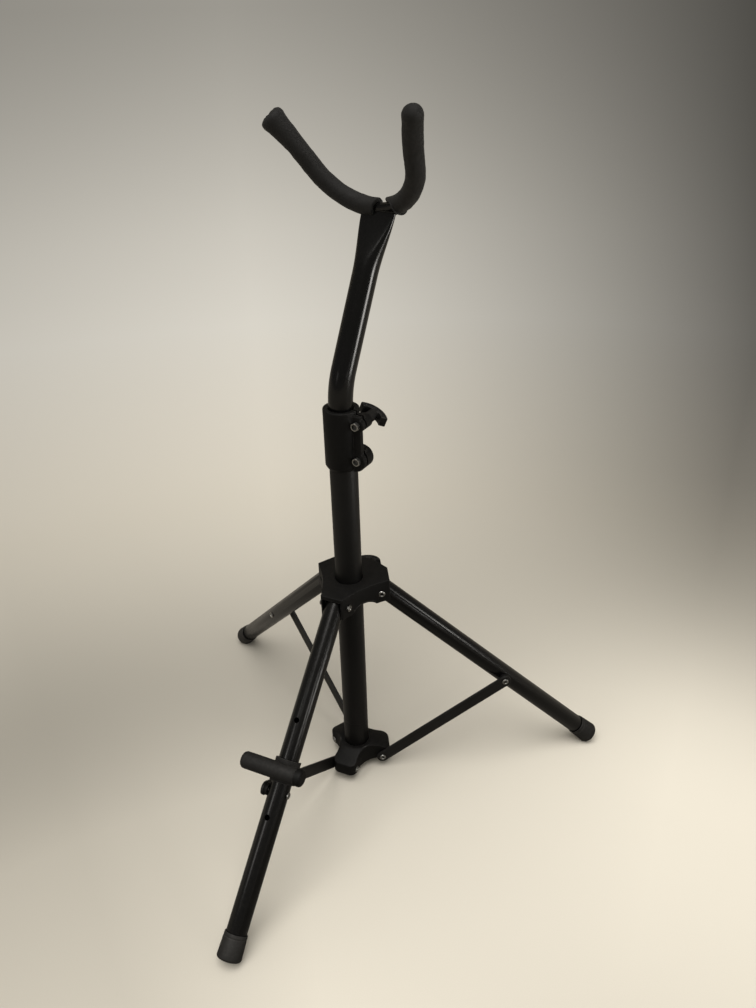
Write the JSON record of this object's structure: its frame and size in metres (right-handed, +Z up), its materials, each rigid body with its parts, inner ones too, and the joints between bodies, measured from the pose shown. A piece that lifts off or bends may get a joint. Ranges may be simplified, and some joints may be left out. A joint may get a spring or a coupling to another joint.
{
  "type": "baritone saxophone stand",
  "caption": "Folding tripod floor stand for a large saxophone, with a clamped telescopic tube, a foam-padded U-shaped yoke and a bow rest on its front leg.",
  "frame": {"origin": "on the floor, at the middle of the box round the whole stand; the column stands 73.9 mm behind it", "axes": "+Z up, the front leg with the bow rest points to -Y, and the yoke opens towards -Y and up"},
  "size_m": [0.5414, 0.4723, 0.7688],
  "materials": {
    "black_steel": "satin black powder coat",
    "black_plastic": "matt black moulded nylon",
    "black_rubber": "matt black rubber",
    "black_foam": "closed-cell foam sleeve with a fine open grain",
    "zinc": "bright zinc plate",
    "brass": "plain turned brass",
    "nylon": "natural nylon"
  },
  "bodies": {
    "stand": {"column_tube": "black_steel", "column_plug": "nylon", "hub": "black_plastic", "hub_screw": "zinc", "hub_rivet_front": "zinc", "hub_rivet_right": "zinc", "hub_rivet_left": "zinc", "clamp_collar": "black_plastic", "clamp_lower_screw": "zinc", "clamp_lower_nut": "zinc", "clamp_upper_nut": "zinc"},
    "clamp_handle": {"clamp_knob": "black_plastic", "clamp_bolt": "zinc"},
    "turning_bush": {"column_bush": "nylon"},
    "upper": {"upper_tube": "black_steel", "tube_glide": "nylon", "yoke_rod": "black_steel", "yoke_foam_left": "black_foam", "yoke_foam_right": "black_foam"},
    "spider": {"leg_spider": "black_plastic", "lock_insert": "brass", "pivot_rivet_front": "zinc", "pivot_rivet_right": "zinc", "pivot_rivet_left": "zinc"},
    "lock_handle": {"lock_knob": "black_plastic", "lock_screw": "zinc"},
    "front_leg": {"leg_tube_front": "black_steel", "leg_plug_front": "black_plastic", "foot_cap_front": "black_rubber", "stay_rivet_front": "zinc"},
    "right_leg": {"leg_tube_right": "black_steel", "leg_plug_right": "black_plastic", "foot_cap_right": "black_rubber", "stay_rivet_right": "zinc"},
    "left_leg": {"leg_tube_left": "black_steel", "leg_plug_left": "black_plastic", "foot_cap_left": "black_rubber", "stay_rivet_left": "zinc"},
    "front_stay": {"stay_front": "black_steel", "hub_rivet_head_front": "zinc", "stay_spacer_front": "black_plastic"},
    "right_stay": {"stay_right": "black_steel", "hub_rivet_head_right": "zinc", "stay_spacer_right": "black_plastic"},
    "left_stay": {"stay_left": "black_steel", "hub_rivet_head_left": "zinc", "stay_spacer_left": "black_plastic"},
    "bow_rest": {"peg_body": "black_rubber", "peg_core": "black_steel", "peg_end_cap": "black_plastic", "peg_pin": "zinc"}
  },
  "joints": [
    {"name": "spider_slide", "type": "slide", "parent": "stand", "child": "spider", "axis": [0, 0, 1], "range_m": [0, 0.138]},
    {"name": "front_leg_fold", "type": "hinge", "parent": "spider", "child": "front_leg", "pos_m": [0, 0.0389, 0.26698], "axis": [1, 0, 0], "range_deg": [0, 40.3]},
    {"name": "right_leg_fold", "type": "hinge", "parent": "spider", "child": "right_leg", "pos_m": [0.03031, 0.0914, 0.26698], "axis": [-0.5, 0.866, 0], "range_deg": [0, 40.3]},
    {"name": "left_leg_fold", "type": "hinge", "parent": "spider", "child": "left_leg", "pos_m": [-0.03031, 0.0914, 0.26698], "axis": [-0.5, -0.866, 0], "range_deg": [0, 40.3]},
    {"name": "front_stay_fold", "type": "hinge", "parent": "front_leg", "child": "front_stay", "pos_m": [0, -0.10843, 0.12396], "axis": [-1, 0, 0], "range_deg": [0, 87.5]},
    {"name": "right_stay_fold", "type": "hinge", "parent": "right_leg", "child": "right_stay", "pos_m": [0.1579, 0.16506, 0.12396], "axis": [0.5, -0.866, 0], "range_deg": [0, 87.5]},
    {"name": "left_stay_fold", "type": "hinge", "parent": "left_leg", "child": "left_stay", "pos_m": [-0.1579, 0.16506, 0.12396], "axis": [0.5, 0.866, 0], "range_deg": [0, 87.5]},
    {"name": "upper_turn", "type": "hinge", "parent": "stand", "child": "turning_bush", "pos_m": [0, 0.0739, 0.46], "axis": [0, 0, 1], "continuous": true},
    {"name": "upper_slide", "type": "slide", "parent": "turning_bush", "child": "upper", "axis": [0, 0, 1], "range_m": [0, 0.17]},
    {"name": "clamp_knob_turn", "type": "hinge", "parent": "stand", "child": "clamp_handle", "pos_m": [0.02168, 0.07162, 0.475], "axis": [0.1045, 0.9945, 0], "continuous": true},
    {"name": "lock_knob_turn", "type": "hinge", "parent": "spider", "child": "lock_handle", "pos_m": [0, 0.0739, 0.27088], "axis": [0, 1, 0], "continuous": true},
    {"name": "bow_rest_pull", "type": "slide", "parent": "front_leg", "child": "bow_rest", "axis": [0, -0.6965, 0.7175], "range_m": [0, 0.025]}
  ],
  "couplings": [
    {"joint": "front_leg_fold", "follows": "spider_slide", "rad_per_m": 5.0859},
    {"joint": "right_leg_fold", "follows": "spider_slide", "rad_per_m": 5.0859},
    {"joint": "left_leg_fold", "follows": "spider_slide", "rad_per_m": 5.0859},
    {"joint": "front_stay_fold", "follows": "spider_slide", "rad_per_m": 11.056},
    {"joint": "right_stay_fold", "follows": "spider_slide", "rad_per_m": 11.056},
    {"joint": "left_stay_fold", "follows": "spider_slide", "rad_per_m": 11.056}
  ]
}
